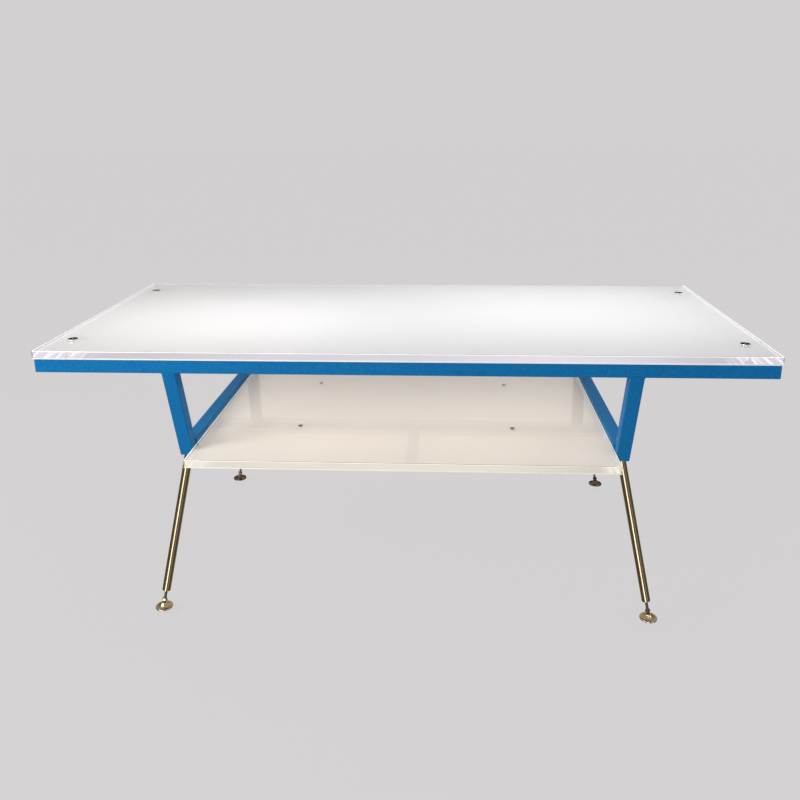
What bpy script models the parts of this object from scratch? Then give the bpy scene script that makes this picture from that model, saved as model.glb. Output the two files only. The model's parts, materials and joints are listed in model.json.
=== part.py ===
"""Light table: a lit acrylic top on a square-tube frame, with a shelf and four splayed legs.

Metres, +Z up. The origin is on the floor under the middle of the top.
X runs along the table, Y from front (-) to rear (+).
"""

import math

import bmesh
import bpy
from mathutils import Matrix, Vector

# Driving dimensions
WIDTH = 2.000
DEPTH = 0.890
HEIGHT = 0.800
CLEAR_THICKNESS = 0.020
OPAL_THICKNESS = 0.003
TUBE = 0.038
TUBE_WALL = 0.002
TUBE_CORNER = 0.003
OVERHANG = 0.003
GAP = 0.0003
PANEL_EDGE = 0.0008
CUT_PAST = 0.010
WELD = 0.00001

# Top screws and the tabs that they are driven into
SCREW_X = 0.945
SCREW_Y = 0.320
SCREW_RADIUS = 0.004
SCREW_HOLE = 0.0046
CAP_RADIUS = 0.0135
CAP_HEIGHT = 0.004
CAP_EDGE = 0.0008
CAP_BORE = 0.0138
SHANK_PAST = 0.002
TAB_LENGTH = 0.050
TAB_WIDTH = 0.031
TAB_THICKNESS = 0.004

# Lighting bays
GUIDE_THICKNESS = 0.0076
TRAY_THICKNESS = 0.0015
LED_WIDTH = 0.0115
BAY_END = 0.918
DRIVER_SIZE = (0.170, 0.052, 0.022)
DRIVER_EDGE = 0.0015
DRIVER_PLACE = (-0.700, -0.020)

# Power inlet and switch in the rear rail
INLET_X = -0.700
INLET_WIDTH = 0.058
INLET_HEIGHT = 0.030
INLET_FLANGE = 0.0016
INLET_DEPTH = 0.026
INLET_BODY = (0.052, 0.024)
SOCKET_SIZE = (0.026, 0.018)
SOCKET_DEPTH = 0.018
SOCKET_SHIFT = -0.010
ROCKER_SIZE = (0.010, 0.016)
ROCKER_DEPTH = 0.006
ROCKER_SHIFT = 0.015
ROCKER_TILT = math.radians(10)
ROCKER_ROOM = 0.0012
ROCKER_EDGE = 0.0008
ROCKER_WELL = 0.012

# Shelf, its rails and its cross bars
SHELF_TOP = 0.496
SHELF_DEPTH = 0.934
RAIL_INNER_X = 0.599
BAR_HEIGHT = 0.020
BAR_Y = 0.196
SHELF_SCREW_X = 0.325
SHELF_SCREW_RADIUS = 0.003
SHELF_SCREW_HOLE = 0.0034
SHELF_HEAD_RADIUS = 0.0065
SHELF_HEAD_HEIGHT = 0.003
SHELF_HEAD_EDGE = 0.001
SHELF_SCREW_BITE = 0.008

# Struts: the middle of the tube where it meets the front or rear rail, and at its foot
STRUT_TOP_X = 0.629
STRUT_FOOT_X = 0.618
STRUT_FOOT_Y = 0.363

# Legs and levelling feet
LEG_RADIUS = 0.012
LEG_WALL = 0.0015
FOOT_X = 0.711
FOOT_Y = 0.420
LEG_END_Z = 0.054
INSERT_LENGTH = 0.020
INSERT_BORE = 0.0043
STUD_RADIUS = 0.004
STUD_TOP = 0.088
STUD_EDGE = 0.001
COLLAR_LOW = 0.010
COLLAR_HIGH = 0.017
COLLAR_RADIUS = 0.0075
NECK_RADIUS = 0.0025
NECK_TOP = 0.0105
BALL_RADIUS = 0.006
BALL_Z = 0.012
SOCKET_RADIUS = 0.0064
SOCKET_RISE = 0.0035
PAD_RADIUS = 0.025
PAD_RIM = 0.004
PAD_NECK_RADIUS = 0.0080
PAD_EDGE = 0.0010
PAD_DOME_POWER = 1.7

# Levels and places that follow from them
CLEAR_LOW = HEIGHT - CLEAR_THICKNESS
OPAL_HIGH = CLEAR_LOW - GAP
OPAL_LOW = OPAL_HIGH - OPAL_THICKNESS
FRAME_TOP = OPAL_LOW - GAP
FRAME_LOW = FRAME_TOP - TUBE
FRAME_X = WIDTH / 2 - OVERHANG
FRAME_Y = DEPTH / 2 - OVERHANG
INSIDE_X = FRAME_X - TUBE
INSIDE_Y = FRAME_Y - TUBE
GUIDE_LOW = FRAME_TOP - GUIDE_THICKNESS
TRAY_HIGH = GUIDE_LOW - GAP
TRAY_LOW = TRAY_HIGH - TRAY_THICKNESS
SHELF_CLEAR_LOW = SHELF_TOP - CLEAR_THICKNESS
SHELF_OPAL_HIGH = SHELF_CLEAR_LOW - GAP
SHELF_OPAL_LOW = SHELF_OPAL_HIGH - OPAL_THICKNESS
BAR_TOP = SHELF_OPAL_LOW - GAP
STRUT_LOW = SHELF_OPAL_LOW
STRUT_HIGH = FRAME_LOW - GAP
STRUT_TOP_Y = FRAME_Y - TUBE / 2
LEG_TOP = STRUT_LOW - GAP

# How finely round things are divided
LEG_SIDES = 28
TURNED_STEPS = 24
SCREW_SIDES = 20
CORNER_STEPS = 3
HEXAGON = 6
BALL_STEPS = 8
CUP_STEPS = 6
DOME_STEPS = 5

SIDES = {"left": -1, "right": 1}
ENDS = {"front": -1, "rear": 1}


def clear_scene():
    for obj in list(bpy.data.objects):
        bpy.data.objects.remove(obj)


def new_collection(name):
    made = bpy.data.collections.new(name)
    bpy.context.scene.collection.children.link(made)
    return made


clear_scene()
PARTS = new_collection("light_table")
CUTTERS = new_collection("cutters")


def material(name, colour, roughness, metallic=0.0, alpha=1.0):
    made = bpy.data.materials.new(name)
    made.use_nodes = True
    shader = made.node_tree.nodes["Principled BSDF"]
    shader.inputs["Base Color"].default_value = (*colour, 1.0)
    shader.inputs["Roughness"].default_value = roughness
    shader.inputs["Metallic"].default_value = metallic
    shader.inputs["Alpha"].default_value = alpha
    return made


CLEAR = material("clear_acrylic", (0.90, 0.90, 0.93), 0.05, alpha=0.35)
OPAL = material("opal_acrylic", (0.90, 0.89, 0.87), 0.25)
SHELF_OPAL = material("cream_opal_acrylic", (0.77, 0.70, 0.63), 0.25)
BLUE = material("blue_powder_coat", (0.02, 0.15, 0.35), 0.45)
DARK_STEEL = material("dark_steel", (0.10, 0.09, 0.09), 0.35, metallic=1.0)
BRONZE = material("bronze_steel", (0.55, 0.43, 0.27), 0.28, metallic=1.0)
WHITE = material("white_sheet", (0.85, 0.85, 0.85), 0.5)
ALUMINIUM = material("aluminium", (0.75, 0.75, 0.77), 0.35, metallic=1.0)
BLACK = material("black_plastic", (0.02, 0.02, 0.02), 0.4)


def place(mesh, name, finish, collection=PARTS):
    made = bpy.data.objects.new(name, mesh)
    mesh.materials.append(finish)
    collection.objects.link(made)
    return made


def cutter(obj):
    PARTS.objects.unlink(obj)
    CUTTERS.objects.link(obj)
    obj.hide_render = True
    obj.display_type = "WIRE"
    return obj


def boolean(obj, tool, operation="DIFFERENCE", solver="EXACT"):
    step = obj.modifiers.new(tool.name, "BOOLEAN")
    step.operation = operation
    step.solver = solver
    step.object = tool
    return obj


def box(name, low, high, finish):
    """A plain block between two corners."""
    low, high = Vector(low), Vector(high)
    bm = bmesh.new()
    bmesh.ops.create_cube(bm, size=1.0)
    bmesh.ops.scale(bm, vec=high - low, verts=bm.verts)
    mesh = bpy.data.meshes.new(name)
    bm.to_mesh(mesh)
    bm.free()
    made = place(mesh, name, finish)
    made.location = (low + high) / 2
    return made


def softened(obj, radius, steps=2):
    """Rounds the edges of a piece whose scale is already real."""
    edge = obj.modifiers.new("edges", "BEVEL")
    edge.width = radius
    edge.segments = steps
    edge.limit_method = "ANGLE"
    return obj


def rod(name, radius, low, high, at, finish, sides=SCREW_SIDES):
    """An upright cylinder or prism between two heights."""
    bm = bmesh.new()
    radii = {"radius1": radius, "radius2": radius}
    bmesh.ops.create_cone(bm, cap_ends=True, segments=sides, depth=high - low, **radii)
    mesh = bpy.data.meshes.new(name)
    bm.to_mesh(mesh)
    bm.free()
    made = place(mesh, name, finish)
    made.location = (*at, (low + high) / 2)
    return made


def round_loop(radius, sides):
    return [
        (radius * math.cos(2 * math.pi * i / sides), radius * math.sin(2 * math.pi * i / sides))
        for i in range(sides)
    ]


def square_loop(side, corner):
    """A square outline with rounded corners, anticlockwise."""
    middle = side / 2 - corner
    points = []
    for quarter in range(4):
        start = quarter * math.pi / 2
        cx = middle * (1 if quarter in (0, 3) else -1)
        cy = middle * (1 if quarter in (0, 1) else -1)
        for step in range(CORNER_STEPS + 1):
            angle = start + step * math.pi / 2 / CORNER_STEPS
            points.append((cx + corner * math.cos(angle), cy + corner * math.sin(angle)))
    return points


def extruded(name, loops, length, finish, turn, shape):
    """A flat outline with holes, extruded along its own Z, turned into place, then shaped.

    turn is a matrix, and shape is a function of one point that gives its final place.
    """
    outline = bpy.data.curves.new(name + "_outline", "CURVE")
    outline.dimensions = "2D"
    outline.fill_mode = "BOTH"
    outline.extrude = length / 2
    for loop in loops:
        spline = outline.splines.new("POLY")
        spline.points.add(len(loop) - 1)
        spline.use_cyclic_u = True
        for point, (x, y) in zip(spline.points, loop):
            point.co = (x, y, 0.0, 1.0)
    guide = bpy.data.objects.new(name + "_guide", outline)
    PARTS.objects.link(guide)
    bpy.context.view_layer.update()
    mesh = bpy.data.meshes.new_from_object(guide.evaluated_get(bpy.context.evaluated_depsgraph_get()))
    bpy.data.objects.remove(guide)
    bm = bmesh.new()
    bm.from_mesh(mesh)
    bmesh.ops.remove_doubles(bm, verts=bm.verts, dist=WELD)
    for vert in bm.verts:
        vert.co = shape(turn @ vert.co)
    bmesh.ops.recalc_face_normals(bm, faces=bm.faces)
    bm.to_mesh(mesh)
    bm.free()
    mesh.name = name
    mesh.materials.clear()
    return place(mesh, name, finish)


def tube_loops(side=TUBE):
    return [square_loop(side, TUBE_CORNER), square_loop(side - 2 * TUBE_WALL, TUBE_CORNER - TUBE_WALL)]


ALONG_X = Matrix.Rotation(math.radians(90), 3, "Y")
ALONG_Y = Matrix.Rotation(math.radians(90), 3, "X")
UPRIGHT = Matrix.Identity(3)


def turned(name, profile, finish, steps=TURNED_STEPS):
    """A solid of revolution about Z, from a profile that runs top to bottom at +X."""
    bm = bmesh.new()
    points = [bm.verts.new((x, 0.0, z)) for x, z in profile]
    for first, second in zip(points, points[1:]):
        bm.edges.new((first, second))
    mesh = bpy.data.meshes.new(name)
    bm.to_mesh(mesh)
    bm.free()
    made = place(mesh, name, finish)
    spin = made.modifiers.new("turn", "SCREW")
    spin.steps = steps
    spin.render_steps = steps
    spin.use_merge_vertices = True
    spin.merge_threshold = WELD
    spin.use_smooth_shade = False
    return made


def arc(radius, centre_z, start, end, steps):
    """Points of a vertical arc about the Z axis; the angles are degrees above the equator."""
    angles = [math.radians(start + (end - start) * i / steps) for i in range(steps + 1)]
    return [(radius * math.cos(a), centre_z + radius * math.sin(a)) for a in angles]


def drilled(obj, name, radius, low, high, at):
    """Drills an upright hole through a piece."""
    return boolean(obj, cutter(rod(name, radius, low, high, at, DARK_STEEL)))


def corners(x, y):
    return {
        f"{end}_{side}": (sx * x, sy * y)
        for end, sy in ENDS.items()
        for side, sx in SIDES.items()
    }


def top_panels():
    half = Vector((WIDTH / 2, DEPTH / 2, 0))
    clear_low = -half + Vector((0, 0, CLEAR_LOW))
    clear = box("top_clear_panel", clear_low, half + Vector((0, 0, HEIGHT)), CLEAR)
    softened(clear, PANEL_EDGE, 1)
    inner = half - Vector((GAP, GAP, 0))
    opal_low = -inner + Vector((0, 0, OPAL_LOW))
    opal = box("top_opal_sheet", opal_low, inner + Vector((0, 0, OPAL_HIGH)), OPAL)
    seat = HEIGHT - CAP_HEIGHT - 2 * GAP
    for corner, at in corners(SCREW_X, SCREW_Y).items():
        below, above = OPAL_LOW - CUT_PAST, HEIGHT + CUT_PAST
        hole = cutter(rod(f"hole_{corner}", SCREW_HOLE, below, above, at, CLEAR))
        boolean(clear, hole)
        boolean(opal, hole)
        drilled(clear, f"counterbore_{corner}", CAP_BORE, seat, HEIGHT + CUT_PAST, at)


def cap_screws():
    """Flat round heads, flush with the work surface, on shanks that reach through the tabs."""
    low = FRAME_TOP - TAB_THICKNESS - SHANK_PAST
    top = HEIGHT - GAP
    head = top - CAP_HEIGHT
    profile = [
        (0.0, top),
        (CAP_RADIUS - CAP_EDGE, top),
        (CAP_RADIUS, top - CAP_EDGE),
        (CAP_RADIUS, head),
        (SCREW_RADIUS, head),
        (SCREW_RADIUS, low),
        (0.0, low),
    ]
    for corner, at in corners(SCREW_X, SCREW_Y).items():
        turned(f"cap_screw_{corner}", profile, DARK_STEEL).location = (*at, 0)


def mounting_tabs():
    middle_x = INSIDE_X - GAP - TAB_WIDTH / 2
    for corner, (x, y) in corners(SCREW_X, SCREW_Y).items():
        centre = math.copysign(middle_x, x)
        low = (centre - TAB_WIDTH / 2, y - TAB_LENGTH / 2, FRAME_TOP - TAB_THICKNESS)
        high = (centre + TAB_WIDTH / 2, y + TAB_LENGTH / 2, FRAME_TOP)
        tab = box(f"mounting_tab_{corner}", low, high, BLUE)
        drilled(tab, f"tab_hole_{corner}", SCREW_HOLE, low[2] - CUT_PAST, high[2] + CUT_PAST, (x, y))


def top_frame():
    """Four square tubes with mitred ends, and a beam across the middle."""
    middle_z = FRAME_TOP - TUBE / 2
    for end, sign in ENDS.items():
        centre_y = sign * (FRAME_Y - TUBE / 2)

        def long_shape(p, sign=sign, centre_y=centre_y):
            x = p.x + math.copysign(1, p.x) * (sign * p.y - GAP)
            return Vector((x, p.y + centre_y, p.z + middle_z))

        extruded(f"top_rail_{end}", tube_loops(), 2 * FRAME_X - TUBE, BLUE, ALONG_X, long_shape)
    for side, sign in SIDES.items():
        centre_x = sign * (FRAME_X - TUBE / 2)

        def short_shape(p, sign=sign, centre_x=centre_x):
            y = p.y + math.copysign(1, p.y) * (sign * p.x - GAP)
            return Vector((p.x + centre_x, y, p.z + middle_z))

        extruded(f"top_rail_{side}", tube_loops(), 2 * FRAME_Y - TUBE, BLUE, ALONG_Y, short_shape)
    extruded(
        "centre_beam",
        tube_loops(),
        2 * (INSIDE_Y - GAP),
        BLUE,
        ALONG_Y,
        lambda p: p + Vector((0, 0, middle_z)),
    )


def lighting():
    """In each bay a light guide between two LED bars, on a white tray."""
    inner = TUBE / 2 + GAP
    led_outer = INSIDE_Y - GAP
    led_inner = led_outer - LED_WIDTH
    for side, sign in SIDES.items():
        near, bay_end, tray_end = sign * inner, sign * BAY_END, sign * (INSIDE_X - GAP)
        guide_x = sorted((near, bay_end))
        guide_y = led_inner - GAP
        guide_low = (guide_x[0], -guide_y, GUIDE_LOW)
        box(f"light_guide_{side}", guide_low, (guide_x[1], guide_y, FRAME_TOP - GAP), CLEAR)
        tray_x = sorted((near, tray_end))
        tray_low = (tray_x[0], -led_outer, TRAY_LOW)
        box(f"reflector_tray_{side}", tray_low, (tray_x[1], led_outer, TRAY_HIGH), WHITE)
        for end, turn in ENDS.items():
            bar_y = sorted((turn * led_inner, turn * led_outer))
            low = (guide_x[0], bar_y[0], GUIDE_LOW)
            box(f"led_bar_{side}_{end}", low, (guide_x[1], bar_y[1], FRAME_TOP - GAP), ALUMINIUM)


def driver():
    """The LED power supply, under the middle of the left tray."""
    x, y = DRIVER_PLACE
    sx, sy, sz = DRIVER_SIZE
    top = TRAY_LOW - GAP
    low, high = (x - sx / 2, y - sy / 2, top - sz), (x + sx / 2, y + sy / 2, top)
    made = box("led_driver", low, high, ALUMINIUM)
    softened(made, DRIVER_EDGE)


def inlet_and_switch():
    """A flanged power inlet with its rocker switch, set into the rear rail."""
    middle_z = FRAME_TOP - TUBE / 2
    face = FRAME_Y + GAP
    back = face + INLET_FLANGE
    half_body = (INLET_BODY[0] / 2, INLET_BODY[1] / 2)
    plate_low = (INLET_X - INLET_WIDTH / 2, face, middle_z - INLET_HEIGHT / 2)
    plate_high = (INLET_X + INLET_WIDTH / 2, back, middle_z + INLET_HEIGHT / 2)
    inlet = box("power_inlet", plate_low, plate_high, BLACK)
    body_low = (INLET_X - half_body[0], back - INLET_DEPTH, middle_z - half_body[1])
    body_high = (INLET_X + half_body[0], face + GAP, middle_z + half_body[1])
    body = box("inlet_body", body_low, body_high, BLACK)
    boolean(inlet, cutter(body), "UNION")
    half_socket = (SOCKET_SIZE[0] / 2, SOCKET_SIZE[1] / 2)
    socket_x = INLET_X + SOCKET_SHIFT
    socket_low = (socket_x - half_socket[0], back - SOCKET_DEPTH, middle_z - half_socket[1])
    socket_high = (socket_x + half_socket[0], back + CUT_PAST, middle_z + half_socket[1])
    socket = box("socket_well", socket_low, socket_high, BLACK)
    boolean(inlet, cutter(socket))
    rocker_x = INLET_X + ROCKER_SHIFT
    well = (ROCKER_SIZE[0] / 2 + ROCKER_ROOM / 2, ROCKER_SIZE[1] / 2 + ROCKER_ROOM)
    well_low = (rocker_x - well[0], back - ROCKER_WELL, middle_z - well[1])
    well_high = (rocker_x + well[0], back + CUT_PAST, middle_z + well[1])
    rocker_well = box("rocker_well", well_low, well_high, BLACK)
    boolean(inlet, cutter(rocker_well))
    pivot_y = back - ROCKER_DEPTH / 2
    half = Vector((ROCKER_SIZE[0] / 2, ROCKER_DEPTH / 2, ROCKER_SIZE[1] / 2))
    rocker = box("switch_rocker", -half, half, BLACK)
    softened(rocker, ROCKER_EDGE)
    rocker.location = (rocker_x, pivot_y, middle_z)
    rocker.rotation_euler = (ROCKER_TILT, 0, 0)
    room = (half_body[0] + GAP, half_body[1] + GAP)
    hole_low = (INLET_X - room[0], FRAME_Y - CUT_PAST, middle_z - room[1])
    hole_high = (INLET_X + room[0], FRAME_Y + CUT_PAST, middle_z + room[1])
    hole = box("inlet_hole", hole_low, hole_high, BLUE)
    # The exact solver leaves open edges at this tube's mitred ends.
    boolean(bpy.data.objects["top_rail_rear"], cutter(hole), solver="MANIFOLD")


def struts():
    """Leaning tubes from the top frame down to the shelf rails, with level ends."""
    height = STRUT_HIGH - STRUT_LOW
    for corner, (sx, sy) in corners(1, 1).items():
        top = Vector((sx * STRUT_TOP_X, sy * STRUT_TOP_Y, STRUT_HIGH))
        foot = Vector((sx * STRUT_FOOT_X, sy * STRUT_FOOT_Y, STRUT_LOW))

        def lean(p, top=top, foot=foot):
            along = foot.lerp(top, p.z / height + 0.5)
            return along + Vector((p.x, p.y, 0))

        extruded(f"strut_{corner}", tube_loops(), height, BLUE, UPRIGHT, lean)


def side_rails():
    """Tubes between the feet of the struts, with ends cut to the struts' slope."""
    slope = (STRUT_TOP_Y - STRUT_FOOT_Y) / (STRUT_HIGH - STRUT_LOW)
    half = STRUT_FOOT_Y - TUBE / 2 - GAP
    for side, sign in SIDES.items():
        centre = Vector((sign * STRUT_FOOT_X, 0, STRUT_LOW + TUBE / 2))

        def sloped(p, centre=centre):
            y = p.y + math.copysign((p.z + TUBE / 2) * slope, p.y)
            return Vector((p.x, y, p.z)) + centre

        extruded(f"side_rail_{side}", tube_loops(), 2 * half, BLUE, ALONG_Y, sloped)


def shelf():
    """Two thick panels between the side rails, screwed from below to two cross bars."""
    half = Vector((RAIL_INNER_X - GAP, SHELF_DEPTH / 2, 0))
    clear_low = -half + Vector((0, 0, SHELF_CLEAR_LOW))
    clear = box("shelf_clear_panel", clear_low, half + Vector((0, 0, SHELF_TOP)), CLEAR)
    softened(clear, PANEL_EDGE, 1)
    opal_low = -half + Vector((0, 0, SHELF_OPAL_LOW))
    opal = box("shelf_opal_sheet", opal_low, half + Vector((0, 0, SHELF_OPAL_HIGH)), SHELF_OPAL)
    bars = {}
    reach = STRUT_FOOT_X + TUBE / 2
    for end, sign in ENDS.items():
        low = (-reach, sign * BAR_Y - TUBE / 2, BAR_TOP - BAR_HEIGHT)
        high = (reach, sign * BAR_Y + TUBE / 2, BAR_TOP)
        bars[end] = box(f"shelf_bar_{end}", low, high, BLUE)
        inner_low = (-reach - CUT_PAST, low[1] + TUBE_WALL, low[2] + TUBE_WALL)
        inner_high = (reach + CUT_PAST, high[1] - TUBE_WALL, high[2] - TUBE_WALL)
        boolean(bars[end], cutter(box(f"bar_bore_{end}", inner_low, inner_high, BLUE)))
    bar_low = BAR_TOP - BAR_HEIGHT
    head_low = bar_low - GAP - SHELF_HEAD_HEIGHT
    tip = SHELF_CLEAR_LOW + SHELF_SCREW_BITE
    profile = [
        (0.0, tip),
        (SHELF_SCREW_RADIUS, tip),
        (SHELF_SCREW_RADIUS, bar_low - GAP),
        (SHELF_HEAD_RADIUS, bar_low - GAP),
        (SHELF_HEAD_RADIUS, head_low + SHELF_HEAD_EDGE),
        (SHELF_HEAD_RADIUS - SHELF_HEAD_EDGE, head_low),
        (0.0, head_low),
    ]
    for corner, at in corners(SHELF_SCREW_X, BAR_Y).items():
        turned(f"shelf_screw_{corner}", profile, DARK_STEEL, SCREW_SIDES).location = (*at, 0)
        hole = rod(f"shelf_hole_{corner}", SHELF_SCREW_HOLE, head_low, tip + GAP, at, BLUE)
        cutter(hole)
        for drilled_piece in (bars[corner.split("_")[0]], opal, clear):
            boolean(drilled_piece, hole)


def leg_axis(sx, sy):
    """The leg's top on its axis, the ball of its foot, and the direction from ball to top."""
    top = Vector((sx * STRUT_FOOT_X, sy * STRUT_FOOT_Y, LEG_TOP))
    ball = Vector((sx * FOOT_X, sy * FOOT_Y, BALL_Z))
    return top, ball, (top - ball).normalized()


def standing_on(direction):
    """The rotation that carries +Z to the leg's direction."""
    return Vector((0, 0, 1)).rotation_difference(direction)


def legs():
    for corner, (sx, sy) in corners(1, 1).items():
        top, ball, direction = leg_axis(sx, sy)
        start = (LEG_END_Z - BALL_Z) / direction.z
        length = (top - ball).length - start
        middle = ball + direction * (start + length / 2)
        turn = standing_on(direction)

        def cut_level(p, middle=middle, direction=direction, turn=turn):
            """Slides the points of the upper end along the axis to the strut's level foot."""
            placed = middle + turn @ p
            if p.z > 0:
                placed += direction * ((LEG_TOP - placed.z) / direction.z)
            return placed

        loops = [round_loop(LEG_RADIUS, LEG_SIDES), round_loop(LEG_RADIUS - LEG_WALL, LEG_SIDES)]
        extruded(f"leg_tube_{corner}", loops, length, BRONZE, UPRIGHT, cut_level)
        rings = [
            round_loop(LEG_RADIUS - LEG_WALL - GAP, LEG_SIDES),
            round_loop(INSERT_BORE, SCREW_SIDES),
        ]
        centre = ball + direction * (start + INSERT_LENGTH / 2)

        def seat(p, centre=centre, turn=turn):
            return centre + turn @ p

        extruded(f"leg_insert_{corner}", rings, INSERT_LENGTH, DARK_STEEL, UPRIGHT, seat)


def stem_profile():
    """Stud, collar seat, neck and ball, with the ball's centre at the origin."""
    neck_angle = math.degrees(math.acos(NECK_RADIUS / BALL_RADIUS))
    ball = arc(BALL_RADIUS, 0.0, neck_angle, -90, BALL_STEPS)
    ball[-1] = (0.0, -BALL_RADIUS)
    return [
        (0.0, STUD_TOP),
        (STUD_RADIUS - STUD_EDGE, STUD_TOP),
        (STUD_RADIUS, STUD_TOP - STUD_EDGE),
        (STUD_RADIUS, NECK_TOP + STUD_EDGE),
        (NECK_RADIUS, NECK_TOP),
        *ball,
    ]


def pad_profile():
    """A domed disc with a ball socket that is open at the top."""
    open_angle = math.degrees(math.asin(SOCKET_RISE / SOCKET_RADIUS))
    cup = arc(SOCKET_RADIUS, BALL_Z, -90, open_angle, CUP_STEPS)
    cup[0] = (0.0, BALL_Z - SOCKET_RADIUS)
    lip = BALL_Z + SOCKET_RISE
    dome = []
    for step in range(DOME_STEPS + 1):
        t = step / DOME_STEPS
        radius = PAD_NECK_RADIUS + (PAD_RADIUS - 2 * PAD_EDGE - PAD_NECK_RADIUS) * t
        height = PAD_RIM + (lip - PAD_EDGE - PAD_RIM) * (1 - t) ** PAD_DOME_POWER
        dome.append((radius, height))
    rim = [(PAD_RADIUS, PAD_RIM - PAD_EDGE), (PAD_RADIUS, PAD_EDGE), (PAD_RADIUS - PAD_EDGE, 0.0)]
    return [*cup, (PAD_NECK_RADIUS - PAD_EDGE, lip), *dome, *rim, (0.0, 0.0)]


def feet():
    """A threaded stem with a hexagonal collar, and the pad that swivels on its ball."""
    for corner, (sx, sy) in corners(1, 1).items():
        _, ball, direction = leg_axis(sx, sy)
        turn = standing_on(direction)
        stem = turned(f"foot_stem_{corner}", stem_profile(), DARK_STEEL, SCREW_SIDES)
        stem.rotation_mode = "QUATERNION"
        stem.location = ball
        stem.rotation_quaternion = turn
        reach = (COLLAR_RADIUS, COLLAR_LOW, COLLAR_HIGH)
        collar = cutter(rod(f"collar_{corner}", *reach, (0, 0), BRONZE, HEXAGON))
        collar.rotation_mode = "QUATERNION"
        collar.location = ball + direction * (COLLAR_LOW + COLLAR_HIGH) / 2
        collar.rotation_quaternion = turn
        boolean(stem, collar, "UNION")
        pad = turned(f"foot_pad_{corner}", pad_profile(), BRONZE)
        pad.location = (ball.x, ball.y, 0)


top_panels()
cap_screws()
mounting_tabs()
top_frame()
lighting()
driver()
inlet_and_switch()
struts()
side_rails()
shelf()
legs()
feet()
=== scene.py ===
"""Looks of the light table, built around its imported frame.

Metres, +Z up. X runs along the table and Y from front to rear, as in the frame.
"""

import json
import math

import bmesh
import bpy
from mathutils import Matrix, Vector

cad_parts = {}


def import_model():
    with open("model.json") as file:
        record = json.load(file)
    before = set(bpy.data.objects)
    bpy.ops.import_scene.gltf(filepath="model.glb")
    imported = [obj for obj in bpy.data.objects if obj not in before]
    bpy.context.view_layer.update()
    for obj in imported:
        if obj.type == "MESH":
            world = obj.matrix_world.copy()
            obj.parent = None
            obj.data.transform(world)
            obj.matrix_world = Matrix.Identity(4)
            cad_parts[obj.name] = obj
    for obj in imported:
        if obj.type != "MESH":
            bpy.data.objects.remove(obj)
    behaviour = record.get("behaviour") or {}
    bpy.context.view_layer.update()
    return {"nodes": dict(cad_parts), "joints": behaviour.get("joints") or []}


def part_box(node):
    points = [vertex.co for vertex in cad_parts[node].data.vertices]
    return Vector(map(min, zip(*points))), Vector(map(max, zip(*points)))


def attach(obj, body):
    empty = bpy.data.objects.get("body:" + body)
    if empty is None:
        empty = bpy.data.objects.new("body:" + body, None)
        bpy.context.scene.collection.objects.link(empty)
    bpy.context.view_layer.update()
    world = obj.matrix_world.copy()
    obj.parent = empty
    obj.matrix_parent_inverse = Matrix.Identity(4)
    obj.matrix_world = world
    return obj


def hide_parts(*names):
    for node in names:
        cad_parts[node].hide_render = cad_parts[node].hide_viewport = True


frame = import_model()

SIDES = {"left": -1, "right": 1}
ENDS = {"front": -1, "rear": 1}
CORNERS = {f"{end}_{side}": (sx, sy) for end, sy in ENDS.items() for side, sx in SIDES.items()}


# ---- sizes

# Seams, edges and facets that the frame leaves plain
SEAM = 0.0003
SOFT_EDGE = 0.0004
EDGE_STEPS = 2
TUBE_CORNER = 0.003
CORNER_STEPS = 5
ROUND_STEPS = 64
HOLE_STEPS = 48
ARC_STEPS = 3
ARC_SHARE = 0.45
# How far a cutting tool reaches past the part that it cuts, and past an inlet or a screw's socket
PAST = 0.01
PAST_INLET = 0.005
PAST_SOCKET = 0.002

# Weld beads: the tip's share of the radius, and the samples that it takes to reach the whole
BEAD_RADIUS = 0.0022
BEAD_PITCH = 0.0028
BEAD_SIDES = 8
BEAD_SAMPLES = 4
BEAD_RIPPLE = 0.12
BEAD_TIP = 0.35
BEAD_TAPER = 6

# Acrylic slabs, with their finishes in this order
CLEAR_FACE, SIDE_FACE, RIM_FACE, REAR_FACE = range(4)
PANEL_EDGE = 0.0015
RIM_STRIP = 0.0034
SIDE_FACE_AREA = 0.0002
SLAB_SHARP = 12.0
SHANK_ROOM = 0.0006
# Parts of a normal: along Z on a level face and on an eased rim, along Y on the rear face
LEVEL = 0.9
EASED = 0.1
REARWARD = 0.5

# Screws: dishes and domes are shares of the head's radius or height, and a shelf screw's tip
# is bright over a multiple of its flange
SCREW_ROUND = 0.0006
CAP_HEAD = 0.004
CAP_SHANK = 0.004
CAP_DISH = (0.52, 0.56)
CAP_DISH_DEPTH = 0.0003
CAP_KEY = 0.0030
CAP_SOCKET = 0.0022
SHELF_HEAD = 0.003
SHELF_SHANK = 0.003
SHELF_FLANGE = 0.002
SHELF_BRIGHT = 1.1
SHELF_DOME = (0.75, 0.4)
SHELF_KEY = 0.0022
SHELF_SOCKET = 0.0016

# Blue frame
MITRE_EDGE = 0.0012
MITRE_STEPS = 3
TAB_EDGE = 0.0008
TAB_STEPS = 32
STRUT_TAPER = 0.97
STRUT_TAPER_END = 0.004
# A strut's head rises past the rail's corner, and its bead lies low and wraps round the sides
HEAD_RISE = 0.9
WELD_DROP = 0.3
WELD_WRAP = 0.4
END_PLUG = 0.0016
END_PLUG_DOME = (0.4, 0.93)

# Legs
LEG_WALL = 0.0015
LEG_MOUTH = 0.012
LEG_EASE = 0.0006
LEG_EASE_INSIDE = 0.0004
LEG_RING = 0.1
LEVEL_TOP = 0.0005
BUSH_LENGTH = 0.020
BUSH_RECESS = 0.0012
BUSH_HOLE = 0.0043
BUSH_HOLE_END = 0.0050
BUSH_CHAMFER = 0.0010
BUSH_ROUND = 0.0003

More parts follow.
